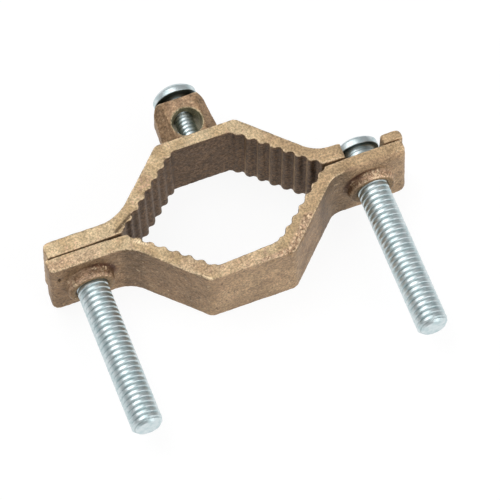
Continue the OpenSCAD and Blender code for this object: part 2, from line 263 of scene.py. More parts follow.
class MeshData:
    """A mesh's points, edges and normals as whole arrays."""

    def __init__(self, mesh: bpy.types.Mesh) -> None:
        """Reads the mesh's points and edges.

        Args:
            mesh: The mesh, which stays as it is until write.
        """
        self.mesh = mesh
        self.points = np.empty(len(mesh.vertices) * 3)
        mesh.vertices.foreach_get("co", self.points)
        self.points = self.points.reshape(-1, 3)
        self.edges = np.empty(len(mesh.edges) * 2, dtype=np.int64)
        mesh.edges.foreach_get("vertices", self.edges)
        self.edges = self.edges.reshape(-1, 2)

    def normals(self) -> np.ndarray:
        """Reads the normals of the points as last written.

        Returns:
            Rows of x, y and z.
        """
        rows = np.empty(len(self.mesh.vertices) * 3)
        self.mesh.vertex_normals.foreach_get("vector", rows)
        return rows.reshape(-1, 3)

    def write(self, points: np.ndarray) -> None:
        """Puts new points into the mesh.

        Args:
            points: Rows of x, y and z.
        """
        self.points = points
        self.mesh.vertices.foreach_set("co", points.astype(np.float32).ravel())
        self.mesh.update()

    def set_mask(self, mask: Mask, values: np.ndarray) -> None:
        """Stores a mask as a point attribute."""
        layer = self.mesh.attributes.new(mask.value, "FLOAT", "POINT")
        layer.data.foreach_set("value", np.clip(values, 0.0, 1.0).astype(np.float32))


def mesh_object(name: str, points: np.ndarray, faces: Sequence[Sequence[int]]) -> bpy.types.Object:
    """Makes a smooth-shaded mesh object from arrays and puts it into the scene.

    Args:
        name: The piece's name.
        points: Rows of x, y and z.
        faces: Point numbers of each face.

    Returns:
        The new object, at the origin.
    """
    mesh = bpy.data.meshes.new(name)
    mesh.from_pydata(points.tolist(), [], faces)
    mesh.polygons.foreach_set("use_smooth", np.ones(len(mesh.polygons), dtype=bool))
    mesh.update()
    return link(name, mesh)


def link(name: str, data: bpy.types.ID) -> bpy.types.Object:
    """Makes an object and puts it into the scene.

    Args:
        name: The object's name.
        data: Its mesh, light or camera.

    Returns:
        The new object.
    """
    made = bpy.data.objects.new(name, data)
    bpy.context.scene.collection.objects.link(made)
    return made


def quads(first: np.ndarray, second: np.ndarray, third: np.ndarray,
          fourth: np.ndarray) -> list[list[int]]:
    """Faces from four arrays of point numbers of one shape."""
    return np.stack([first, second, third, fourth], axis=-1).reshape(-1, 4).tolist()


def rgba(colour: object) -> object:
    """Adds a colour's fourth number, and leaves a socket as it is."""
    return colour if isinstance(colour, bpy.types.NodeSocket) else (*colour, 1.0)


class Shader:
    """A short hand for building one node tree."""

    def __init__(self, tree: bpy.types.NodeTree,
                 material: bpy.types.Material | None = None) -> None:
        """Empties the tree.

        Args:
            tree: The node tree.
            material: The tree's material, if it isn't the world's.
        """
        self.tree = tree
        self.material = material
        tree.nodes.clear()

    @classmethod
    def of_material(cls, name: str) -> "Shader":
        """Starts a new material's tree.

        Args:
            name: The material's name.

        Returns:
            The short hand for its tree.
        """
        material = bpy.data.materials.new(name)
        material.use_nodes = True
        return cls(material.node_tree, material)

    def node(self, kind: str, inputs: dict | None = None, **settings: object) -> bpy.types.Node:
        """Adds a node.

        Args:
            kind: The node's type.
            inputs: Values or output sockets for its inputs, by name or number.
            settings: The node's own properties.

        Returns:
            The node.
        """
        made = self.tree.nodes.new(kind)
        for name, value in settings.items():
            setattr(made, name, value)
        for key, value in (inputs or {}).items():
            if isinstance(value, bpy.types.NodeSocket):
                self.tree.links.new(value, made.inputs[key])
            else:
                made.inputs[key].default_value = value
        return made

    def show(self, surface: bpy.types.Node, output: str = "ShaderNodeOutputMaterial") -> None:
        """Joins the last shader node to the tree's output."""
        self.node(output, {"Surface": surface.outputs[0]})

    def object_point(self) -> bpy.types.NodeSocket:
        """The shaded point in the object's own coordinates, in metres."""
        return self.node("ShaderNodeTexCoord").outputs["Object"]

    def mask(self, mask: Mask) -> bpy.types.NodeSocket:
        """Reads a point attribute."""
        return self.node("ShaderNodeAttribute", attribute_name=mask.value).outputs["Fac"]

    def part_of(self, mask: Mask, share: object) -> bpy.types.NodeSocket:
        """Reads a point attribute and takes a share of it, a number or a socket."""
        return self.math("MULTIPLY", self.mask(mask), share)

    def noise(self, pattern: Pattern) -> bpy.types.NodeSocket:
        """Noise from 0 to 1 on the object's own coordinates.

        Args:
            pattern: Its size and settings.

        Returns:
            The noise's value.
        """
        place = {"Vector": self.object_point(), "Location": pattern.offset}
        values = {"Vector": self.node("ShaderNodeMapping", place).outputs[0],
                  "Scale": 1.0 / pattern.size, "Detail": pattern.detail,
                  "Roughness": pattern.roughness, "Distortion": pattern.distortion}
        return self.node("ShaderNodeTexNoise", values).outputs["Fac"]

    def math(self, operation: str, first: object, second: object = 0.0) -> bpy.types.NodeSocket:
        """One step of arithmetic on numbers or sockets."""
        return self.node("ShaderNodeMath", {0: first, 1: second}, operation=operation).outputs[0]

    def ease(self, value: object, ramp: Ramp) -> bpy.types.NodeSocket:
        """Eases a value along a ramp.

        Args:
            value: The socket to read.
            ramp: The ramp.

        Returns:
            The eased value.
        """
        values = {"Value": value, "From Min": ramp.start, "From Max": ramp.end,
                  "To Min": ramp.low, "To Max": ramp.high}
        return self.node("ShaderNodeMapRange", values, interpolation_type="SMOOTHSTEP").outputs[0]

    def mix(self, share: object, first: object, second: object,
            blend: str = "MIX") -> bpy.types.NodeSocket:
        """Mixes two colours.

        The Mix node's inputs 6 and 7 are its colours, and its output 2 is the mixed colour.

        Args:
            share: Share of the second, a number or a socket.
            first: A colour or a socket.
            second: A colour or a socket.
            blend: The way of mixing.

        Returns:
            The mixed colour.
        """
        values = {0: share, 6: rgba(first), 7: rgba(second)}
        made = self.node("ShaderNodeMix", values, data_type="RGBA", blend_type=blend)
        return made.outputs[2]

    def bump(self, height: object, strength: float, distance: float) -> bpy.types.NodeSocket:
        """A normal tilted by the slope of a height."""
        values = {"Height": height, "Strength": strength, "Distance": distance}
        return self.node("ShaderNodeBump", values).outputs[0]


@dataclass(frozen=True)
class CastBronze:
    """Sand-cast bronze: brown grainy sides, faces ground level and bright, rubbed edges, painted
    shade and highlights.

    The colours come first, then the surface, then the patterns and the ramps that cut them.
    """

    ground_light: Colour = (0.67, 0.52, 0.325)
    ground_deep: Colour = (0.50, 0.36, 0.205)
    ground_pink: Colour = (0.58, 0.39, 0.265)
    ground_tarnished: Colour = (0.50, 0.345, 0.20)
    cast_light: Colour = (0.50, 0.346, 0.206)
    cast_deep: Colour = (0.435, 0.294, 0.176)
    cast_red: Colour = (0.42, 0.26, 0.17)
    # Dull sides' colour, partly a duller skin and partly painted shade; creases use it too.
    cast_dull_and_shade: Colour = (0.30, 0.19, 0.107)
    # Toothed inner faces: their own darker finish with painted shade of the clamp's opening.
    bite_light: Colour = (0.23, 0.143, 0.082)
    bite_deep: Colour = (0.092, 0.056, 0.032)
    bite_crest: Colour = (0.29, 0.19, 0.125)
    scuffed: Colour = (0.66, 0.45, 0.31)
    boss_face_shade: Colour = (0.26, 0.165, 0.085)
    # Rubbed bright colour, also used for painted highlights on edges, crests and flecks.
    rubbed: Colour = (0.82, 0.64, 0.42)
    # Dark colour of pores, also used as painted shade in hollows, grooves and pits.
    grime_and_shade: Colour = (0.06, 0.038, 0.024)
    foot: Colour = (0.115, 0.052, 0.03)
    bore: Colour = (0.30, 0.27, 0.165)
    metallic: float = 0.55
    dielectric: float = 0.2
    roughness: Ramp = Ramp(0.2, 0.8, 0.42, 0.62)
    bump_strength: float = 0.55
    bump_height: float = 0.16 * MM
    coarse_share: float = 0.6
    tarnish_share: float = 0.8
    scuff_share: float = 0.8
    hollow_shade_share: float = 0.75
    patches: Pattern = Pattern(6.0 * MM, 3.0, 0.55, 0.3)
    tint: Pattern = Pattern(2.4 * MM, 4.0, 0.65, 0.8, (0.0, 0.03, 0.0))
    mottle: Pattern = Pattern(0.65 * MM, 4.0, 0.7, 0.3, (0.02, 0.0, 0.01))
    pore: Pattern = Pattern(0.9 * MM, 1.0, 0.5, 0.6, (0.0, 0.05, 0.02))
    fleck: Pattern = Pattern(0.8 * MM, 1.0, 0.5, 0.6, (0.03, 0.0, 0.05))
    sand: Pattern = Pattern(0.55 * MM, 3.0, 0.7, 0.2, (0.01, 0.0, 0.0))
    coarse: Pattern = Pattern(1.3 * MM, 2.0, 0.6, 0.2, (0.0, 0.0, 0.02))
    cloud: Pattern = Pattern(4.5 * MM, 2.0, 0.6, 0.5, (0.06, 0.0, 0.0))
    patch_cut: Ramp = Ramp(0.36, 0.64)
    pink_cut: Ramp = Ramp(0.53, 0.68, 0.0, 0.75)
    red_cut: Ramp = Ramp(0.55, 0.72, 0.0, 0.6)
    dull_cut: Ramp = Ramp(0.40, 0.62, 1.0, 0.55)
    mottle_cut: Ramp = Ramp(0.38, 0.62)
    pore_cut: Ramp = Ramp(0.37, 0.27)
    pore_share: Ramp = Ramp(0.0, 1.0, 0.55, 0.25)
    crease_cut: Ramp = Ramp(0.06, 0.015, 0.0, 0.9)
    rubbed_cut: Ramp = Ramp(0.34, 0.52)
    fleck_glint_cut: Ramp = Ramp(0.66, 0.76, 0.0, 0.5)
    glint_cut: Ramp = Ramp(0.54, 0.64, 0.0, 0.8)
    cloud_shade: Ramp = Ramp(0.35, 0.65, 0.88, 1.10)
    sand_shade: Ramp = Ramp(0.35, 0.65, 0.66, 1.30)

    def skin(self, shader: Shader) -> bpy.types.NodeSocket:
        """Colours each kind of surface, with its broad patches.

        Args:
            shader: The material's tree.

        Returns:
            The colour before grain and wear.
        """
        patches = shader.ease(shader.noise(self.patches), self.patch_cut)
        tint = shader.noise(self.tint)
        light = shader.mix(patches, self.ground_deep, self.ground_light)
        light = shader.mix(shader.ease(tint, self.pink_cut), light, self.ground_pink)
        tarnish = shader.part_of(Mask.TARNISHED, self.tarnish_share)
        light = shader.mix(tarnish, light, self.ground_tarnished)
        brown = shader.mix(patches, self.cast_deep, self.cast_light)
        brown = shader.mix(shader.ease(tint, self.red_cut), brown, self.cast_red)
        # Dull sides: partly a duller skin, partly painted shade where sides turn from the lamps.
        dull = shader.part_of(Mask.DULL_AND_SHADE, shader.ease(tint, self.dull_cut))
        brown = shader.mix(dull, brown, self.cast_dull_and_shade)
        # The toothed inner faces are darker, partly their own finish and partly painted shade
        # inside the clamp's opening.
        mottle = shader.ease(shader.noise(self.mottle), self.mottle_cut)
        dark = shader.mix(mottle, self.bite_deep, self.bite_light)
        colour = shader.mix(shader.mask(Mask.BITE), brown, dark)
        colour = shader.mix(shader.mask(Mask.GROUND), colour, light)
        # Painted shade on the bosses' forward faces.
        colour = shader.mix(shader.mask(Mask.BOSS_FACE_SHADE), colour, self.boss_face_shade)
        # Chewed pink wear; on the bosses' upward crests it also stands in for light from above.
        scuff = shader.part_of(Mask.SCUFFED, self.scuff_share)
        colour = shader.mix(scuff, colour, self.scuffed)
        # Painted shade in the recesses at the bosses' feet.
        colour = shader.mix(shader.mask(Mask.FOOT_SHADE), colour, self.foot)
        return shader.mix(shader.mask(Mask.BORE), colour, self.bore)

    def wear(self, shader: Shader, colour: object, sand: object) -> bpy.types.NodeSocket:
        """Paints shade into hollows, darkens pores, and brightens edges, crests and flecks as wear
        and painted highlights.

        Creases run where the flecks' noise crosses its middle value of one half.

        Args:
            shader: The material's tree.
            colour: The skin's colour.
            sand: The sand grain's height.

        Returns:
            The worn colour.
        """
        fleck = shader.noise(self.fleck)
        # Painted shade in hollows, grooves and pits.
        colour = shader.mix(shader.part_of(Mask.HOLLOW_SHADE, self.hollow_shade_share), colour, self.grime_and_shade)
        pores = shader.ease(shader.noise(self.pore), self.pore_cut)
        open_pores = shader.ease(shader.mask(Mask.GROUND), self.pore_share)
        colour = shader.mix(shader.math("MULTIPLY", pores, open_pores), colour, self.grime_and_shade)
        crease = shader.math("ABSOLUTE", shader.math("SUBTRACT", fleck, 0.5))
        crease = shader.part_of(Mask.SCUFFED, shader.ease(crease, self.crease_cut))
        colour = shader.mix(crease, colour, self.cast_dull_and_shade)
        bright = shader.mix(shader.mask(Mask.BITE), self.rubbed, self.bite_crest)
        # Edges and tooth crests brighten: partly rubbed wear, partly painted highlights.
        share = shader.part_of(Mask.RUBBED_AND_HIGHLIT, shader.ease(sand, self.rubbed_cut))
        # Painted glints: sparse flecks everywhere, and more on the scuffed rims, take the bright
        # colour.
        share = shader.math("MAXIMUM", share, shader.ease(fleck, self.fleck_glint_cut))
        glint = shader.part_of(Mask.SCUFFED, shader.ease(fleck, self.glint_cut))
        return shader.mix(shader.math("MAXIMUM", share, glint), colour, bright)

    def material(self) -> bpy.types.Material:
        """Builds the material.

        Returns:
            A material that reads the castings' masks.
        """
        shader = Shader.of_material("cast_bronze")
        sand = shader.noise(self.sand)
        colour = self.wear(shader, self.skin(shader), sand)
        broad = shader.ease(shader.noise(self.cloud), self.cloud_shade)
        shade = shader.math("MULTIPLY", shader.ease(sand, self.sand_shade), broad)
        shade = shader.node("ShaderNodeCombineColor", {0: shade, 1: shade, 2: shade}).outputs[0]
        coarse = shader.math("MULTIPLY", shader.noise(self.coarse), self.coarse_share)
        height = shader.math("ADD", sand, coarse)
        shader.show(shader.node("ShaderNodeBsdfPrincipled", {
            "Base Color": shader.mix(1.0, colour, shade, "MULTIPLY"),
            "Roughness": shader.ease(sand, self.roughness),
            "Metallic": self.metallic,
            "Specular IOR Level": self.dielectric,
            "Normal": shader.bump(height, self.bump_strength, self.bump_height),
        }))
        return shader.material


@dataclass(frozen=True)
class ZincPlate:
    """Bright zinc plating on steel, with painted shade in the thread's roots and under the head."""

    bright: Colour = (0.70, 0.77, 0.785)
    dull: Colour = (0.54, 0.655, 0.675)
    root: Colour = (0.12, 0.18, 0.185)
    shaded: Colour = (0.10, 0.145, 0.15)
    metallic: float = 1.0
    roughness: Ramp = Ramp(0.2, 0.8, 0.40, 0.48)
    bump_strength: float = 0.12
    bump_height: float = 0.05 * MM
    cloud: Pattern = Pattern(1.6 * MM, 3.0, 0.6, 0.3)
    fine: Pattern = Pattern(0.25 * MM, 2.0, 0.5)
    cloud_cut: Ramp = Ramp(0.35, 0.7)
    root_shade_cut: Ramp = Ramp(0.5, 1.0, 0.0, 0.35)

    def material(self) -> bpy.types.Material:
        """Builds the material.

        Returns:
            A material that reads the screws' masks.
        """
        shader = Shader.of_material("zinc_plate")
        cloud = shader.noise(self.cloud)
        colour = shader.mix(shader.ease(cloud, self.cloud_cut), self.bright, self.dull)
        # Painted shade in the thread's roots.
        roots = shader.ease(shader.mask(Mask.ROOT_SHADE), self.root_shade_cut)
        colour = shader.mix(roots, colour, self.root)
        shader.show(shader.node("ShaderNodeBsdfPrincipled", {
            "Base Color": shader.mix(shader.mask(Mask.SHADED), colour, self.shaded),
            "Roughness": shader.ease(cloud, self.roughness),
            "Metallic": self.metallic,
            "Normal": shader.bump(shader.noise(self.fine), self.bump_strength, self.bump_height),
        }))
        return shader.material


@dataclass(frozen=True)
class Mark:
    """A mark on a casting along a straight line: its ends, its radius and its depth."""

    start: Point
    end: Point
    radius: float
    depth: float = 0.0

    def gap(self, points: np.ndarray) -> np.ndarray:
        """Distance from the line, as a share of the mark's radius.

        Args:
            points: Rows of x, y and z.

        Returns:
            The shares, one for each point.
        """
        start, along = np.array(self.start), np.array(self.end) - np.array(self.start)
        place = np.clip((points - start) @ along / (along @ along), 0.0, 1.0)
        return np.linalg.norm(points - start - place[:, None] * along, axis=1) / self.radius

    def share(self, points: np.ndarray) -> np.ndarray:
        """1 up to half the radius from the line, eased to 0 at the radius."""
        return smooth_step(self.gap(points), 1.0, 0.5)


@dataclass(frozen=True)
class Groove(Mark):
    """A fine groove, or a pit where it is short."""

    def push(self, points: np.ndarray, normals: np.ndarray) -> np.ndarray:
        """Moves points inwards by the depth times (1 - d^2)^2, d being their share of the radius.

        Args:
            points: Rows of x, y and z.
            normals: The points' normals.

        Returns:
            The moves to add to the points.
        """
        fall = np.clip(1.0 - self.gap(points) ** 2, 0.0, 1.0) ** 2
        return -self.depth * fall[:, None] * normals


@dataclass(frozen=True)
class ScuffAndShade(Mark):
    """A stretch of surface: chewed and pinkish by wear, rubbed bright partly as a painted
    highlight, or dull and dark on the sides as painted shade.
    """

    mask: Mask = Mask.SCUFFED
    strength: float = 1.0
    cell: float = 0.9 * MM
    octaves: int = 2
    seed: int = 77

    def push(self, points: np.ndarray, normals: np.ndarray) -> np.ndarray:
        """Gouges the stretch: noise squared times the depth, inwards.

        Args:
            points: Rows of x, y and z.
            normals: The points' normals.

        Returns:
            The moves to add to the points.
        """
        rough = np.square(grain(points, self.cell, self.octaves, self.seed))
        gouge = rough * self.depth * self.share(points)
        return -gouge[:, None] * normals


@dataclass(frozen=True)
class SoftEdge:
    """A wide round on one level edge under a top face, fading in and out past its ends."""

    start: Point
    end: Point
    outward: Point
    radius: float
    fade: float = 4.0 * MM

    def move(self, points: np.ndarray) -> np.ndarray:
        """Presses the edge's square corner into a quarter round.

        With u and v measured from the round's centre outwards and upwards, a point where both
        are positive moves to (u, v) times the larger of the two over their root sum of squares.

        Args:
            points: Rows of x, y and z.

        Returns:
            The moves to add to the points.
        """
        outward, up = np.array(self.outward), np.array((0.0, 0.0, 1.0))
        along = np.array(self.end) - np.array(self.start)
        length = float(np.linalg.norm(along))
        place = (points - np.array(self.start)) @ (along / length)
        share = smooth_step(place, -self.fade, 0.0) * smooth_step(place, length + self.fade, length)
        u = (points - np.array(self.start)) @ outward + self.radius
        v = (points - np.array(self.start)) @ up + self.radius
        inside = (u > 0.0) & (v > 0.0)
        reach = np.where(inside, np.hypot(u, v), 1.0)
        scale = (np.where(inside, np.maximum(u, v) / reach, 1.0) - 1.0) * share
        return (u * scale)[:, None] * outward + (v * scale)[:, None] * up


@dataclass(frozen=True)
class SoftSpot:
    """A round region whose corners are worn down, in full up to the core's share of its radius."""

    centre: Point
    radius: float
    passes: int
    core: float = 0.7
    pull: float = 0.5

    def wear(self, points: np.ndarray, edges: np.ndarray) -> np.ndarray:
        """Moves the region's points towards their neighbours' mean, pass after pass.

        Args:
            points: Rows of x, y and z.
            edges: Pairs of point numbers.

        Returns:
            The worn points.
        """
        gap = np.linalg.norm(points - np.array(self.centre), axis=1)
        share = self.pull * smooth_step(gap, self.radius, self.core * self.radius)[:, None]
        return relax(points, edges, self.passes, share)


@dataclass(frozen=True)
class Bands:
    """Where a casting's looks and moves fade in.

    The first six read a part of the normal, the next two a bend at an edge or in a hollow, and the
    rest a distance in metres: from a plane, from a ring or past a radius.
    """

    level_face: Ramp = Ramp(0.55, 0.85)
    tooth_face: Ramp = Ramp(0.05, 0.35)
    boss_front: Ramp = Ramp(0.75, 0.95)
    boss_top: Ramp = Ramp(0.2, 0.6)
    scuffed_top: Ramp = Ramp(0.1, 0.6)
    side_wall: Ramp = Ramp(0.5, 0.95)
    rubbed_bend: Ramp = Ramp(0.03, 0.16)
    hollow_bend: Ramp = Ramp(0.01, 0.09)
    ground_skin: Ramp = Ramp(0.5 * MM, 0.3 * MM)
    joint_clear: Ramp = Ramp(0.3 * MM, 0.8 * MM)
    draft_clear: Ramp = Ramp(1.2 * MM, 2.6 * MM)
    bite_edge: Ramp = Ramp(2.0 * MM, 0.0)
    bore_wall: Ramp = Ramp(0.45 * MM, 0.1 * MM)
    boss_rim: Ramp = Ramp(0.0, -0.6 * MM)
    boss_crest: Ramp = Ramp(1.5 * MM, -0.2 * MM)
    foot_ring: Ramp = Ramp(1.1 * MM, 0.2 * MM)
    foot_inner: Ramp = Ramp(-5.0 * MM, 3.0 * MM)
    foot_upper: Ramp = Ramp(-2.0 * MM, 2.5 * MM)


@dataclass
class Casting:
    """One bronze casting: a fine copy of its CAD solid with soft edges, draft and sand grain.

    parting_side is 1 behind the parting plane and -1 in front of it. The cast sides turn dull and
    dark from dull_from to dull_to and stay so past it, partly a duller skin and partly painted
    shade, and the ground faces tarnish along X.
    """

    node: str
    body: str
    parting_side: float
    dull_from: Point
    dull_to: Point
    screw_axes: tuple[float, ...] = ()
    boss_radius: float = 6.0 * MM
    foot_gap: float = 0.7 * MM
    bite_radius: float = 25.0 * MM
    wire_hole: Point | None = None
    wire_hole_radius: float = 3.85 * MM
    grooves: tuple[Groove, ...] = ()
    scuffs_and_shades: tuple[ScuffAndShade, ...] = ()
    soft_edges: tuple[SoftEdge, ...] = ()
    soft_spots: tuple[SoftSpot, ...] = ()
    tarnish: Ramp = Ramp(9.0 * MM, 23.0 * MM)
    bands: Bands = Bands()
    voxel: float = 0.27 * MM
    weld: float = 0.001 * MM
    edge_passes: int = 1
    bend_passes: int = 2
    hollow_passes: int = 3
    draft: float = 0.35 * MM
    cast_grain: float = 0.048 * MM
    ground_grain: float = 0.02 * MM
    grain_cell: float = 0.8 * MM
    grain_octaves: int = 3
    wave_cell: float = 7.0 * MM
    wave_height: float = 0.06 * MM
    wave_seed_step: int = 50
    seed: int = 1

    def fine_copy(self) -> bpy.types.Object:
        """Copies the CAD solid, merges its loose triangles and remeshes it in even voxels.

        Returns:
            The new object, whose one mesh has no modifier left.
        """
        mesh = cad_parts[self.node].data.copy()
        mesh.materials.clear()
        body = bmesh.new()
        body.from_mesh(mesh)
        bmesh.ops.remove_doubles(body, verts=body.verts, dist=self.weld)
        body.to_mesh(mesh)
        body.free()
        rough = link(f"{self.node}_solid", mesh)
        remesh = rough.modifiers.new("voxels", "REMESH")
        remesh.mode = "VOXEL"
        remesh.voxel_size = self.voxel
        remesh.use_smooth_shade = True
        graph = bpy.context.evaluated_depsgraph_get()
        fine = bpy.data.meshes.new_from_object(rough.evaluated_get(graph))
        bpy.data.objects.remove(rough)
        return link(f"{self.node}_casting", fine)

    def bore_mask(self, points: np.ndarray) -> np.ndarray:
        """The wall of the wire hole, where the casting has one.

        Args:
            points: Rows of x, y and z.

        Returns:
            1 in the hole, eased to 0 round it.
        """
        if self.wire_hole is None:
            return np.zeros(len(points))
        reach = np.hypot(points[:, 0] - self.wire_hole[0], points[:, 1] - self.wire_hole[1])
        return self.bands.bore_wall.past(self.wire_hole_radius).of(reach)

    def boss_masks(self, points: np.ndarray, normals: np.ndarray) -> dict[Mask, np.ndarray]:
        """The bosses' forward faces and foot rings, both painted shade, and their chewed upper
        rims, partly painted light.

        Args:
            points: Rows of x, y and z.
            normals: The points' normals.

        Returns:
            The three masks' values, one for each point, all 0 without bosses.
        """
        bands = self.bands
        face, foot, rim = (np.zeros(len(points)) for _ in range(3))
        front = bands.boss_front.of(-normals[:, 1])
        for axis in self.screw_axes:
            reach = np.hypot(points[:, 0] - axis, points[:, 2])
            # Painted shade on the flat faces that look forward, away from the light above.
            face += bands.boss_rim.past(self.boss_radius).of(reach) * front
            # Painted shade in the recess round each boss's foot, on its inner, upper side.
            ring = np.abs(reach - self.boss_radius - self.foot_gap)
            inner = bands.foot_inner.of(np.sign(axis) * (axis - points[:, 0]))
            foot += bands.foot_ring.of(ring) * inner * bands.foot_upper.of(points[:, 2])
            # Crests that face up turn chewed pink: partly wear, partly painted light from above.
            crest = bands.boss_crest.past(self.boss_radius).of(reach)
            rim += crest * bands.boss_top.of(normals[:, 2])
        return {Mask.BOSS_FACE_SHADE: face, Mask.FOOT_SHADE: foot, Mask.SCUFFED: rim}

    def masks(self, data: MeshData, normals: np.ndarray) -> dict[Mask, np.ndarray]:
        """Works out where each look goes, from place, direction, bend and marks.

        A point's bend is how far the mean of its neighbours lies along its normal, in voxels.

        Args:
            data: The casting's mesh.
            normals: The points' normals.

        Returns:
            The masks' values, one for each point.
        """
        bands, points = self.bands, data.points
        low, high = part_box(self.node)
        edge = np.minimum(high.z - points[:, 2], points[:, 2] - low.z)
        ground = bands.level_face.of(np.abs(normals[:, 2])) * bands.ground_skin.of(edge)
        sides = 1.0 - ground
        facing = bands.tooth_face.of(-normals[:, 1] * self.parting_side)
        inside = bands.bite_edge.past(self.bite_radius).of(np.hypot(points[:, 0], points[:, 1]))
        start, along = np.array(self.dull_from), np.array(self.dull_to) - np.array(self.dull_from)
        bend = ((neighbour_mean(points, data.edges) - points) * normals).sum(axis=1)
        bend = relax(bend / self.voxel, data.edges, self.bend_passes)
        found = self.boss_masks(points, normals)
        found[Mask.FOOT_SHADE] = found[Mask.FOOT_SHADE] * sides
        found[Mask.SCUFFED] = found[Mask.SCUFFED] * sides
        found[Mask.GROUND] = ground
        found[Mask.BITE] = facing * inside * sides
        found[Mask.BORE] = self.bore_mask(points)
        found[Mask.DULL_AND_SHADE] = smooth_step((points - start) @ along / (along @ along), 0.0, 1.0)
        found[Mask.TARNISHED] = self.tarnish.of(points[:, 0])
        found[Mask.RUBBED_AND_HIGHLIT] = bands.rubbed_bend.of(-bend)
        found[Mask.HOLLOW_SHADE] = bands.hollow_bend.of(relax(bend, data.edges, self.hollow_passes))
        # Grooves and the pit also get painted shade.
        for groove in self.grooves:
            found[Mask.HOLLOW_SHADE] = np.maximum(found[Mask.HOLLOW_SHADE], groove.share(points))
        # Chewed stretches keep to faces that look up, and dull and dark ones, which are painted
        # shade, to the cast sides.
        within = {Mask.SCUFFED: bands.scuffed_top.of(normals[:, 2]), Mask.RUBBED_AND_HIGHLIT: 1.0}
        for scuff in self.scuffs_and_shades:
            share = scuff.strength * scuff.share(points) * within.get(scuff.mask, sides)
            found[scuff.mask] = np.maximum(found[scuff.mask], share)
        return found

    def draft_move(self, points: np.ndarray, normals: np.ndarray) -> np.ndarray:
        """The draft: side walls lean out by an amount that grows evenly from top to underside.

        Args:
            points: Rows of x, y and z.
            normals: The points' normals.

        Returns:
            The moves to add to the points.
        """
        low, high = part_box(self.node)
        share = (high.z - points[:, 2]) / (high.z - low.z)
        clear = self.bands.draft_clear.of(np.abs(points[:, 1]))
        upright = self.bands.side_wall.of(np.hypot(normals[:, 0], normals[:, 1]))
        move = normals * (self.draft * share * clear * upright)[:, None]
        move[:, 2] = 0.0
        return move

    def relief(self, points: np.ndarray, normals: np.ndarray, ground: np.ndarray) -> np.ndarray:
        """Sand grain and waves, which stop short of the parting plane, the draft and the marks.

        Args:
            points: Rows of x, y and z.
            normals: The points' normals.
            ground: The mask of the ground faces.

        Returns:
            The moves to add to the points.
        """
        sides = 1.0 - ground
        joint = self.bands.joint_clear.of(np.abs(points[:, 1]))
        height = grain(points, self.grain_cell, self.grain_octaves, self.seed)
        height = height * (self.cast_grain * sides + self.ground_grain * (1.0 - sides)) * joint
        waves = noise(points, self.wave_cell, self.seed + self.wave_seed_step) * self.wave_height
        waves = waves * joint * sides
        move = normals * (height + waves - self.cast_grain * joint)[:, None]
        move += self.draft_move(points, normals)
        for mark in self.grooves + self.scuffs_and_shades:
            move += mark.push(points, normals)
        return move

    def build(self, material: bpy.types.Material) -> bpy.types.Object:
        """Builds the casting, dresses it and puts it in its node's place.

        Args:
            material: The bronze.

        Returns:
            The casting.
        """
        made = self.fine_copy()
        data = MeshData(made.data)
        for soft_edge in self.soft_edges:
            data.write(data.points + soft_edge.move(data.points))
        for soft_spot in self.soft_spots:
            data.write(soft_spot.wear(data.points, data.edges))
        data.write(relax(data.points, data.edges, self.edge_passes))
        normals = data.normals()
        masks = self.masks(data, normals)
        move = self.relief(data.points, normals, masks[Mask.GROUND])
        data.write(np.clip(data.points + move, np.array(CAD_BOX[0]), np.array(CAD_BOX[1])))
        for mask, values in masks.items():
            data.set_mask(mask, values)
        made.data.materials.append(material)
        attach(made, self.body)
        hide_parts(self.node)
        LOG.info("%s: %d faces", made.name, len(made.data.polygons))
        return made


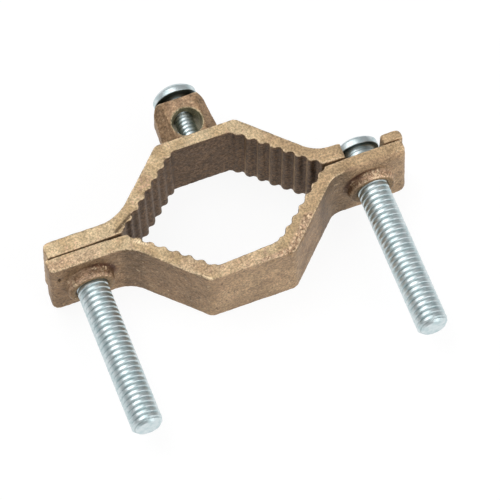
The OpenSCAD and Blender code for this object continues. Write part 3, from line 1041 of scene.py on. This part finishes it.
@dataclass
class Screw:
    """A slotted machine screw along Y, one closed surface from its tip to its domed head.

    Its own axes are u across the driver slot, v along the slot and w from the tip to the head,
    with w = 0 at the head's seat. Tip rings are shares of the tip's radius. The thread's flank and
    run-out are in pitches, and the rim's start and inset are shares of the rounded edge.
    """

    node: str
    body: str
    shank_dia: float
    pitch: float
    rim: float
    dome: float
    slot_width: float
    slot_depth: float
    tip_chamfer: float
    thread_share: float = 0.30
    flank_start: float = 0.28
    flank_end: float = 0.48
    flank_easing: float = 0.45
    run_out: Ramp = Ramp(-0.3, -1.6)
    rows_per_turn: int = 16
    side_chords: int = 17
    floor_chords: int = 5
    chord_rows: int = 41
    slot_round: float = 0.16 * MM
    slot_steps: int = 4
    edge_round: float = 0.22 * MM
    edge_steps: int = 3
    rim_start: float = 1.6
    rim_inset: float = 0.3
    under_shade: tuple[float, ...] = (1.0, 1.0, 0.7, 0.3)
    tip_rings: tuple[float, ...] = (0.5, 0.9, 1.0)
    tip_lip: float = 0.08 * MM
    weld: float = 0.004 * MM
    middle: Vector = field(init=False)
    head_radius: float = field(init=False)
    ball: float = field(init=False)
    cap_radius: float = field(init=False)
    seat: float = field(init=False)
    tip: float = field(init=False)

    def __post_init__(self) -> None:
        """Takes the head's size and the screw's place from the CAD node's box."""
        low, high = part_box(self.node)
        self.middle = (low + high) / 2
        self.head_radius = (high.z - low.z) / 2
        self.ball = (self.head_radius**2 + self.dome**2) / (2 * self.dome)
        self.cap_radius = self.head_radius - self.edge_round
        self.seat = high.y - self.dome_height(self.slot_width / 2)
        self.tip = low.y - self.seat

    def dome_height(self, reach: np.ndarray | float) -> np.ndarray | float:
        """Height of the dome above the seat at a distance from the axis: the cap of a ball."""
        return self.rim + self.dome - self.ball + np.sqrt(self.ball**2 - np.square(reach))

    def chord_columns(self) -> tuple[np.ndarray, np.ndarray, np.ndarray]:
        """Chords across the head from one side of the slot to the other.

        Beside the slot each chord has a drop below the dome, which rounds the slot's edge, and in
        the slot each has a cap above the slot's floor, which rounds the slot's corner.

        Returns:
            The chords' places across the slot, their drops and their caps.
        """
        half = self.slot_width / 2
        widest = math.acos((half + self.slot_round) / self.cap_radius)
        side = self.cap_radius * np.cos(np.linspace(0.0, widest, self.side_chords))
        arc = np.linspace(0.0, math.pi / 2, self.slot_steps + 1)[1:]
        edge = half + self.slot_round * (1.0 - np.sin(arc))
        corner = half - self.slot_round * (1.0 - np.cos(arc))
        floor = np.linspace(corner[-1], -corner[-1], self.floor_chords + 2)[1:-1]
        place = np.concatenate([side, edge, [half], corner])
        drop = np.concatenate([np.zeros_like(side), self.slot_round * (1.0 - np.cos(arc)),
                               [0.0], np.zeros_like(corner)])
        cap = np.concatenate([np.full_like(side, CLEAR_OF_DOME),
                              np.full_like(edge, CLEAR_OF_DOME), [self.slot_round],
                              self.slot_round * (1.0 - np.sin(arc))])
        return (np.concatenate([place, floor, -place[::-1]]),
                np.concatenate([drop, np.zeros_like(floor), drop[::-1]]),
                np.concatenate([cap, np.zeros_like(floor), cap[::-1]]))

    def head_top(self, place: np.ndarray, drop: np.ndarray, cap: np.ndarray) -> np.ndarray:
        """The domed top with its slot, as chords times points along each chord.

        A point at share t of its chord has v = t times half the chord. Its height is the smaller
        of the dome less the chord's drop and the slot's floor plus the chord's cap.

        Args:
            place: The chords' places across the slot.
            drop: Each chord's drop.
            cap: Each chord's cap.

        Returns:
            Points u, v and w, of shape chords by rows by three.
        """
        share = np.sin(np.linspace(-math.pi / 2, math.pi / 2, self.chord_rows))
        half = np.sqrt(np.maximum(self.cap_radius**2 - place**2, 0.0))
        along = half[:, None] * share[None, :]
        across = np.broadcast_to(place[:, None], along.shape)
        reach = np.minimum(np.hypot(across, along), self.cap_radius)
        dome = self.dome_height(reach) - drop[:, None]
        floor = self.rim + self.dome - self.slot_depth + cap[:, None]
        return np.stack([across, along, np.minimum(dome, floor)], axis=2)

    def thread_radius(self, height: np.ndarray, angle: np.ndarray) -> tuple[np.ndarray, np.ndarray]:
        """Radius of the thread: a rounded trapezoid carried along a right-handed helix.

        The thread fades out below the head, and a cone cuts it at the tip.

        Args:
            height: Heights w above the seat.
            angle: Angles round the axis.

        Returns:
            The radii and how deep each point lies in the thread, from 0 to 1.
        """
        phase = np.mod(height / self.pitch - angle / (2 * math.pi), 1.0)
        from_crest = 0.5 - np.abs(phase - 0.5)
        flank = (from_crest - self.flank_start) / (self.flank_end - self.flank_start)
        flank = np.clip(flank, 0.0, 1.0)
        eased = smooth_step(flank, 0.0, 1.0)
        deep = (1.0 - self.flank_easing) * flank + self.flank_easing * eased
        start, end = self.run_out.start * self.pitch, self.run_out.end * self.pitch
        deep = deep * smooth_step(height, start, end)
        radius = self.shank_dia / 2 - self.thread_share * self.pitch * deep
        cone = self.shank_dia / 2 - self.tip_chamfer + (height - self.tip)
        return np.minimum(radius, cone), deep

    def rings_below(self) -> np.ndarray:
        """Radii and heights of the rings across the tip's flat end, from within outwards."""
        end = self.shank_dia / 2 - self.tip_chamfer
        return np.array([(end * share, self.tip) for share in self.tip_rings])

    def rings_above(self) -> np.ndarray:
        """The rings round the head, from the seat up to the dome's edge.

        One lies halfway across the seat, then come the quarter round under the rim, the rim's two
        ends and the chamfer on top.

        Returns:
            Their radii and heights.
        """
        arc = np.linspace(0.0, math.pi / 2, self.edge_steps + 1)
        under_radius = self.head_radius - self.edge_round * (1.0 - np.sin(arc))
        under_height = self.edge_round * (1.0 - np.cos(arc))
        return np.concatenate([
            [[(self.shank_dia / 2 + self.head_radius) / 2, 0.0]],
            np.stack([under_radius, under_height], axis=1),
            [[self.head_radius, self.edge_round * self.rim_start]],
            [[self.head_radius, self.rim - self.edge_round]],
            [[self.head_radius - self.rim_inset * self.edge_round, self.rim]],
        ])

    def side_rows(self, angle: np.ndarray) -> tuple[np.ndarray, np.ndarray, np.ndarray]:
        """The surface round the axis, as rows times angles, without the head's top.

        The shank's rows climb with the helix, by one pitch for each turn, and stop at its ends.

        Args:
            angle: Angles of the columns.

        Returns:
            Points u, v and w, of shape rows by columns by three, their depth in the thread and
            how shaded they are under the head.
        """
        low = self.tip + self.tip_lip
        rows = np.append(np.arange(low - self.pitch, 0.0, self.pitch / self.rows_per_turn), 0.0)
        height = np.clip(rows[:, None] + self.pitch * angle[None, :] / (2 * math.pi), low, 0.0)
        radius, deep = self.thread_radius(height, np.broadcast_to(angle, height.shape))
        below, above = self.rings_below(), self.rings_above()
        round_axis = np.ones(len(angle))
        radius = np.concatenate([below[:, :1] * round_axis, radius, above[:, :1] * round_axis])
        height = np.concatenate([below[:, 1:] * round_axis, height, above[:, 1:] * round_axis])
        deep = np.pad(deep, ((len(below), len(above)), (0, 0)))
        shaded = np.zeros_like(deep)
        seat_row = len(shaded) - len(above)
        shaded[seat_row:seat_row + len(self.under_shade)] = np.array(self.under_shade)[:, None]
        points = np.stack([radius * np.cos(angle), radius * np.sin(angle), height], axis=2)
        return points, deep, shaded

    def helix_seam(self, number: np.ndarray) -> np.ndarray:
        """Joins each shank row's last column to the first column one turn further up.

        Args:
            number: Point numbers, rows by columns.

        Returns:
            Each point's neighbour in the next column, with the seam's shifted by a turn's rows.
        """
        following = np.roll(number, -1, axis=1)
        first = len(self.tip_rings)
        last = len(number) - 1 - len(self.rings_above())
        shifted = np.arange(first, last + 1) + self.rows_per_turn
        following[first:last + 1, -1] = number[np.minimum(shifted, last), 0]
        return following

    def surface(self) -> tuple[np.ndarray, list[list[int]], np.ndarray, np.ndarray]:
        """Joins tip, thread, head and slotted top into one closed surface.

        Returns:
            Points in the frame, faces, the points' depth in the thread and their shade.
        """
        place, drop, cap = self.chord_columns()
        top = self.head_top(place, drop, cap)
        half_turn = np.arccos(np.clip(place / self.cap_radius, -1.0, 1.0))
        side, deep, shaded = self.side_rows(
            np.concatenate([half_turn, 2 * math.pi - half_turn[-2:0:-1]]))
        start = deep.size
        number = np.arange(start).reshape(deep.shape)
        following = self.helix_seam(number)
        faces = quads(number[:-1, :], following[:-1, :], following[1:, :], number[1:, :])
        grid = start + np.arange(len(place) * self.chord_rows).reshape(len(place), self.chord_rows)
        faces += quads(grid[:-1, :-1], grid[1:, :-1], grid[1:, 1:], grid[:-1, 1:])
        rim = np.concatenate([grid[:, -1], grid[-2:0:-1, 0]])
        faces += quads(number[-1], np.roll(number[-1], -1), np.roll(rim, -1), rim)
        centre = start + grid.size
        faces += [[centre, b, a] for a, b in zip(number[0], np.roll(number[0], -1))]
        points = np.concatenate([side.reshape(-1, 3), top.reshape(-1, 3), [[0.0, 0.0, self.tip]]])
        placed = np.stack([self.middle.x + points[:, 1], self.seat + points[:, 2],
                           self.middle.z + points[:, 0]], axis=1)
        beyond = (0, grid.size + 1)
        return placed, faces, np.pad(deep.ravel(), beyond), np.pad(shaded.ravel(), beyond)

    def build(self, material: bpy.types.Material) -> bpy.types.Object:
        """Builds the screw, dresses it and puts it in its node's place.

        Args:
            material: The zinc.

        Returns:
            The screw.
        """
        points, faces, deep, shaded = self.surface()
        made = mesh_object(f"{self.node}_threaded", points, faces)
        data = MeshData(made.data)
        data.set_mask(Mask.ROOT_SHADE, deep)
        data.set_mask(Mask.SHADED, shaded)
        body = bmesh.new()
        body.from_mesh(made.data)
        bmesh.ops.remove_doubles(body, verts=body.verts, dist=self.weld)
        bmesh.ops.recalc_face_normals(body, faces=body.faces)
        body.to_mesh(made.data)
        body.free()
        made.data.materials.append(material)
        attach(made, self.body)
        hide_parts(self.node)
        LOG.info("%s: %d faces", made.name, len(made.data.polygons))
        return made


@dataclass(frozen=True)
class Lamp:
    """A square softbox that faces the part: its middle, its side and its power in watts."""

    name: str
    place: Point
    size: float
    power: float

    def build(self) -> bpy.types.Object:
        """Makes the lamp, which the camera doesn't see.

        Returns:
            The lamp.
        """
        light = bpy.data.lights.new(self.name, "AREA")
        light.shape = "SQUARE"
        light.size = self.size
        light.energy = self.power
        made = link(self.name, light)
        made.location = self.place
        made.rotation_euler = (-Vector(self.place)).to_track_quat("-Z", "Y").to_euler()
        made.visible_camera = False
        return made


@dataclass(frozen=True)
class Studio:
    """A pale floor, a white surround and soft lamps.

    The far floor is plain white past the shadows. The surround's strength climbs with the
    direction's height, and mirrors see it as white below the horizon.
    """

    floor_rings: tuple[float, ...] = (0.0, 0.05, 0.1, 0.2, 0.5, 1.0, 3.0)
    floor_sides: int = 64
    floor_drop: float = 0.02 * MM
    floor_albedo: float = 0.55
    shadow_depth: float = 0.13
    floor_glow: float = 0.90
    far_floor: Ramp = Ramp(0.09, 0.25)
    surround: Ramp = Ramp(-0.1, 0.95, 0.26, 0.58)
    horizon: Ramp = Ramp(0.06, 0.0)
    lamps: tuple[Lamp, ...] = (Lamp("key", (-0.30, 0.42, 0.90), 0.85, 5.4),
                               Lamp("fill", (0.45, -0.55, 0.45), 0.6, 3.0))

    def floor(self) -> bpy.types.Object:
        """A round floor just under the part. To the camera it is white apart from shadows.

        Returns:
            The floor.
        """
        rings = np.array(self.floor_rings)
        angle = np.linspace(0.0, 2 * math.pi, self.floor_sides, endpoint=False)
        x = rings[:, None] * np.cos(angle)
        y = rings[:, None] * np.sin(angle)
        level = np.full_like(x, CAD_BOX[0].z - self.floor_drop)
        number = np.arange(x.size).reshape(x.shape)
        after = np.roll(number, -1, axis=1)
        faces = quads(number[1:-1], number[2:], after[2:], after[1:-1])
        faces += [[0, a, b] for a, b in zip(number[1], after[1])]
        made = mesh_object("floor", np.stack([x, y, level], axis=2).reshape(-1, 3), faces)
        made.data.materials.append(self.floor_material())
        return made

    def floor_material(self) -> bpy.types.Material:
        """White to camera and mirror rays, with the shadows of a part of its light; else matt.

        Returns:
            The material.
        """
        shader = Shader.of_material("floor")
        path = shader.node("ShaderNodeLightPath").outputs
        seen = shader.math("MAXIMUM", path["Is Camera Ray"], path["Is Glossy Ray"])
        seen = shader.math("MAXIMUM", seen, path["Is Transmission Ray"])
        matt = shader.node("ShaderNodeBsdfDiffuse", {"Color": rgba((self.floor_albedo,) * 3)})
        catcher = shader.node("ShaderNodeBsdfDiffuse", {"Color": rgba((self.shadow_depth,) * 3)})
        glow = shader.node("ShaderNodeEmission", {"Strength": self.floor_glow})
        near = shader.node("ShaderNodeAddShader", {0: catcher.outputs[0], 1: glow.outputs[0]})
        away = shader.node("ShaderNodeVectorMath", {0: shader.object_point()}, operation="LENGTH")
        far = shader.ease(away.outputs["Value"], self.far_floor)
        plain = shader.node("ShaderNodeEmission", {"Strength": 1.0})
        pair = {0: far, 1: near.outputs[0], 2: plain.outputs[0]}
        white = shader.node("ShaderNodeMixShader", pair)
        pair = {0: seen, 1: matt.outputs[0], 2: white.outputs[0]}
        shader.show(shader.node("ShaderNodeMixShader", pair))
        return shader.material

    def world(self) -> None:
        """A soft surround, brighter overhead, that the camera sees as white."""
        made = bpy.data.worlds.new("studio")
        made.use_nodes = True
        bpy.context.scene.world = made
        shader = Shader(made.node_tree)
        direction = shader.node("ShaderNodeTexCoord").outputs["Generated"]
        upward = shader.node("ShaderNodeSeparateXYZ", {0: direction}).outputs["Z"]
        soft = shader.node("ShaderNodeBackground", {"Strength": shader.ease(upward, self.surround)})
        white = shader.node("ShaderNodeBackground", {"Strength": 1.0})
        path = shader.node("ShaderNodeLightPath").outputs
        mirrored = shader.math("MAXIMUM", path["Is Glossy Ray"], path["Is Transmission Ray"])
        mirrored = shader.math("MULTIPLY", mirrored, shader.ease(upward, self.horizon))
        seen = shader.math("MAXIMUM", path["Is Camera Ray"], mirrored)
        pair = {0: seen, 1: soft.outputs[0], 2: white.outputs[0]}
        shader.show(shader.node("ShaderNodeMixShader", pair), "ShaderNodeOutputWorld")

    def build(self) -> None:
        """Builds floor, surround and lamps."""
        self.floor()
        self.world()
        for lamp in self.lamps:
            lamp.build()
        LOG.info("studio: floor, surround and %d lamps", len(self.lamps))


@dataclass(frozen=True)
class Camera:
    """The photograph's view: a long lens that looks steeply down from the front left.

    The angles are in degrees, the lens and the sensor in millimetres.
    """

    lens: float = 299.66
    sensor: float = 36.0
    azimuth: float = -19.52
    elevation: float = 63.67
    roll: float = -1.37
    distance: float = 1.01742
    aim: Point = (0.00267, -0.01063, 0.0)
    nearest: float = 0.1
    farthest: float = 20.0

    def build(self) -> bpy.types.Object:
        """Makes the camera and gives it to the scene.

        Returns:
            The camera.
        """
        data = bpy.data.cameras.new("camera")
        data.lens = self.lens
        data.sensor_width = self.sensor
        data.clip_start = self.nearest
        data.clip_end = self.farthest
        made = link("camera", data)
        turn, rise = math.radians(self.azimuth), math.radians(self.elevation)
        level = math.cos(rise)
        back = Vector((math.sin(turn) * level, -math.cos(turn) * level, math.sin(rise)))
        right = Vector((math.cos(turn), math.sin(turn), 0.0))
        upright = Matrix((right, back.cross(right), back)).transposed()
        made.matrix_world = (Matrix.Translation(Vector(self.aim) + back * self.distance)
                             @ upright.to_4x4() @ Matrix.Rotation(math.radians(self.roll), 4, "Z"))
        bpy.context.scene.camera = made
        return made


def rear_jaw() -> Casting:
    """The rear jaw with its wire lug.

    Returns:
        The casting, with a scratch, the lug's worn top and the right ear's worn corner.
    """
    return Casting(
        "rear_jaw", "rear_jaw", parting_side=1.0, seed=3,
        # The lug's sides turn dull: partly a duller skin, partly painted shade.
        dull_from=mm(0.0, 20.5, 0.0), dull_to=mm(0.0, 21.5, 0.0), wire_hole=mm(0.0, 26.0, 0.0),
        grooves=(Groove(mm(-27.6, 1.1, TOP), mm(-22.5, 4.3, TOP), 0.5 * MM, 0.3 * MM),),
        scuffs_and_shades=(ScuffAndShade(mm(0.0, 24.0, LUG_TOP), mm(0.0, 33.0, LUG_TOP), 4.6 * MM, 0.12 * MM,
                      strength=0.32),),
        soft_spots=(SoftSpot(mm(44.6, 2.4, 9.0), 7.0 * MM, passes=13),),
    )


def front_jaw() -> Casting:
    """The front jaw with its two bosses.

    Returns:
        The casting, with a pit, chewed stretches and rubbed bright ones, partly painted highlights,
        along its top, dull and dark ones on its sides that are painted shade, and the wide round on
        its right ear.
    """
    return Casting(
        "front_jaw", "front_jaw", parting_side=-1.0, seed=11,
        dull_from=mm(-6.0, 0.0, 0.0), dull_to=mm(-16.0, 0.0, 0.0),
        screw_axes=(-SCREW_AXIS, SCREW_AXIS),
        grooves=(Groove(mm(-44.1, -3.95, 4.1), mm(-44.1, -3.95, 5.1), 0.55 * MM, 0.7 * MM),),
        scuffs_and_shades=(
            ScuffAndShade(mm(17.8, -12.6, TOP), mm(11.0, -19.3, TOP), 2.4 * MM, 0.5 * MM),
            ScuffAndShade(mm(11.0, -19.3, TOP), mm(3.5, -19.6, TOP), 1.7 * MM, 0.4 * MM),
            ScuffAndShade(mm(-45.0, -2.4, TOP), mm(-34.0, -2.4, TOP), 2.0 * MM, 0.08 * MM, strength=0.5),
            ScuffAndShade(mm(-15.0, -14.5, TOP), mm(1.0, -18.5, TOP), 3.4 * MM, 0.05 * MM, strength=0.35),
            # Bright lines along top edges: partly rubbed wear, partly painted highlights.
            ScuffAndShade(mm(-23.0, -8.0, 9.8), mm(-10.05, -19.5, 9.8), 0.5 * MM, mask=Mask.RUBBED_AND_HIGHLIT),
            ScuffAndShade(mm(-24.0, -3.0, TOP), mm(-21.5, -4.6, TOP), 0.7 * MM, mask=Mask.RUBBED_AND_HIGHLIT),
            # Painted shade on the right leg's outer side.
            ScuffAndShade(mm(19.0, -13.0, -TOP), mm(19.0, -13.0, TOP), 12.0 * MM, mask=Mask.DULL_AND_SHADE),
            # Painted shade beside the bosses, where the legs meet them.
            ScuffAndShade(mm(26.5, -6.0, -TOP), mm(26.5, -6.0, TOP), 8.0 * MM, mask=Mask.HOLLOW_SHADE,
                  strength=0.65),
            ScuffAndShade(mm(-25.5, -5.5, -TOP), mm(-25.5, -5.5, TOP), 3.5 * MM, mask=Mask.HOLLOW_SHADE,
                  strength=0.4),
        ),
        soft_edges=(SoftEdge(mm(32.0, -3.95, TOP), mm(60.0, -3.95, TOP), (0.0, -1.0, 0.0),
                             2.4 * MM),),
    )


def clamp_screw(node: str) -> Screw:
    """One of the two long 5/16-18 screws."""
    return Screw(node, node, shank_dia=7.94 * MM, pitch=1.411 * MM, rim=1.7 * MM, dome=2.0 * MM,
                 slot_width=1.8 * MM, slot_depth=2.0 * MM, tip_chamfer=0.95 * MM)


def lug_screw() -> Screw:
    """The short No. 10-24 screw across the wire hole."""
    return Screw("lug_screw", "lug_screw", shank_dia=4.83 * MM, pitch=1.058 * MM, rim=1.5 * MM,
                 dome=2.5 * MM, slot_width=1.5 * MM, slot_depth=1.8 * MM, tip_chamfer=0.6 * MM)


def main() -> None:
    """Builds the studio, the two castings and the three screws."""
    logging.basicConfig(level=logging.INFO, format="%(name)s: %(message)s")
    bpy.context.scene.view_settings.view_transform = "Standard"
    Camera().build()
    Studio().build()
    bronze = CastBronze().material()
    zinc = ZincPlate().material()
    for casting in (rear_jaw(), front_jaw()):
        casting.build(bronze)
    for screw in (clamp_screw("left_clamp_screw"), clamp_screw("right_clamp_screw"), lug_screw()):
        screw.build(zinc)


if __name__ == "__main__":
    main()
